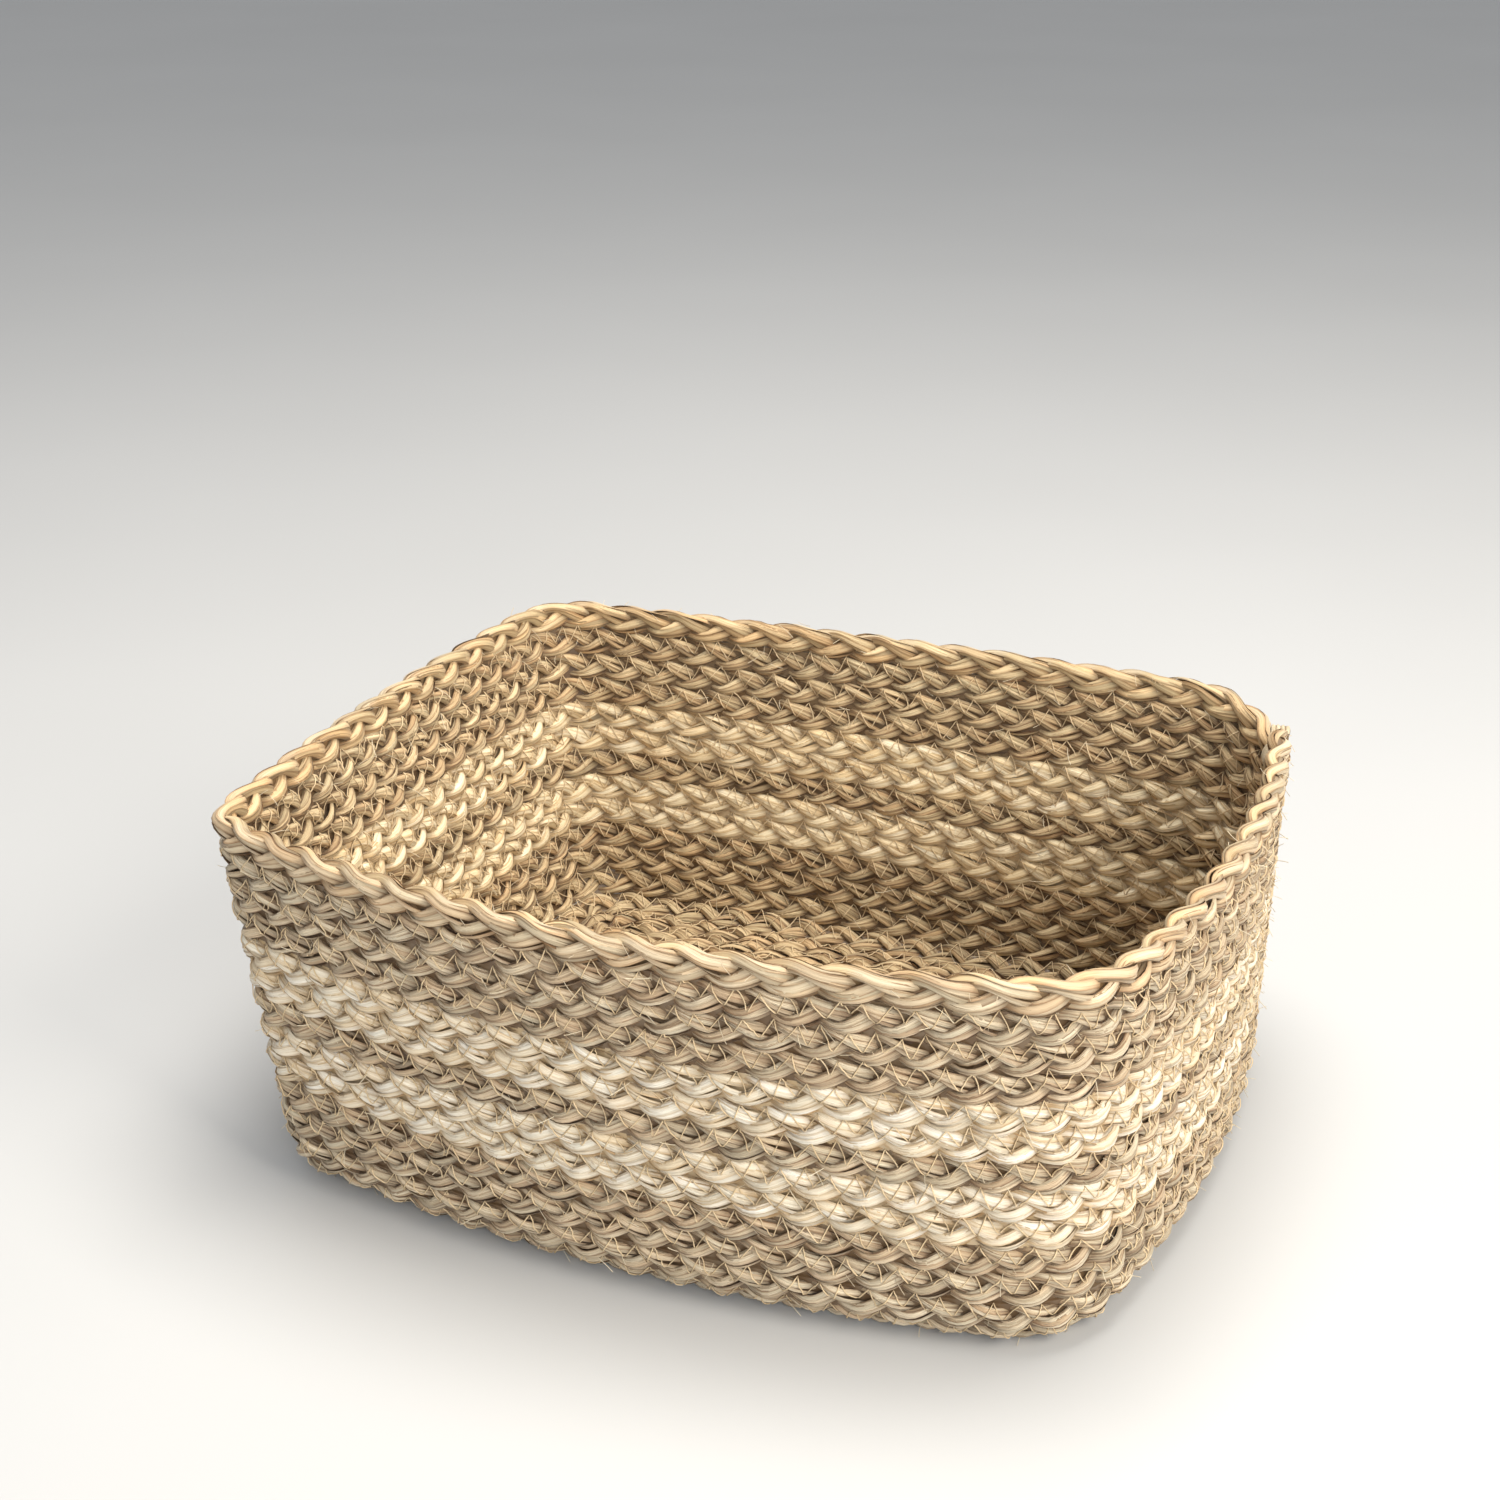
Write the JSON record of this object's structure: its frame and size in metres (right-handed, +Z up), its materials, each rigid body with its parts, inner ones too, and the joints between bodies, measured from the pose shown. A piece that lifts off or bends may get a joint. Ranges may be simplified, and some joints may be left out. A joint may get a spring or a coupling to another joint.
{
  "type": "woven storage basket",
  "caption": "Open rectangular storage basket with rounded corners, sewn from one flat seagrass braid coiled into a base and wall, with two pale bands.",
  "frame": {"origin": "under the middle of the basket's box, on the surface that it stands on", "axes": "+Z up, +X along the long side towards the end with the two large corners, +Y towards the back wall, which is the nearly straight one"},
  "size_m": [0.3745, 0.3258, 0.1497],
  "materials": {
    "natural_braid": "dry natural seagrass, matt with a faint waxy sheen",
    "pale_braid": "dry bleached leaf, matt with a faint waxy sheen",
    "thread": "tan twisted sewing thread, matt"
  },
  "bodies": {
    "root": {"base_coil_braid": "natural_braid", "foot_braid": "natural_braid", "wall_braid_01": "natural_braid", "wall_braid_02": "natural_braid", "wall_braid_03": "natural_braid", "wall_braid_04": "pale_braid", "wall_braid_05": "pale_braid", "wall_braid_06": "natural_braid", "wall_braid_07": "pale_braid", "wall_braid_08": "pale_braid", "wall_braid_09": "natural_braid", "wall_braid_10": "natural_braid", "wall_braid_11": "natural_braid", "rim_braid": "natural_braid", "base_needle_thread": "thread", "base_bobbin_thread": "thread", "seam_00_needle_thread": "thread", "seam_00_bobbin_thread": "thread", "seam_01_needle_thread": "thread", "seam_01_bobbin_thread": "thread", "seam_02_needle_thread": "thread", "seam_02_bobbin_thread": "thread", "seam_03_needle_thread": "thread", "seam_03_bobbin_thread": "thread", "seam_04_needle_thread": "thread", "seam_04_bobbin_thread": "thread", "seam_05_needle_thread": "thread", "seam_05_bobbin_thread": "thread", "seam_06_needle_thread": "thread", "seam_06_bobbin_thread": "thread", "seam_07_needle_thread": "thread", "seam_07_bobbin_thread": "thread", "seam_08_needle_thread": "thread", "seam_08_bobbin_thread": "thread", "seam_09_needle_thread": "thread", "seam_09_bobbin_thread": "thread", "seam_10_needle_thread": "thread", "seam_10_bobbin_thread": "thread", "seam_11_needle_thread": "thread", "seam_11_bobbin_thread": "thread", "seam_12_needle_thread": "thread", "seam_12_bobbin_thread": "thread"}
  },
  "joints": []
}
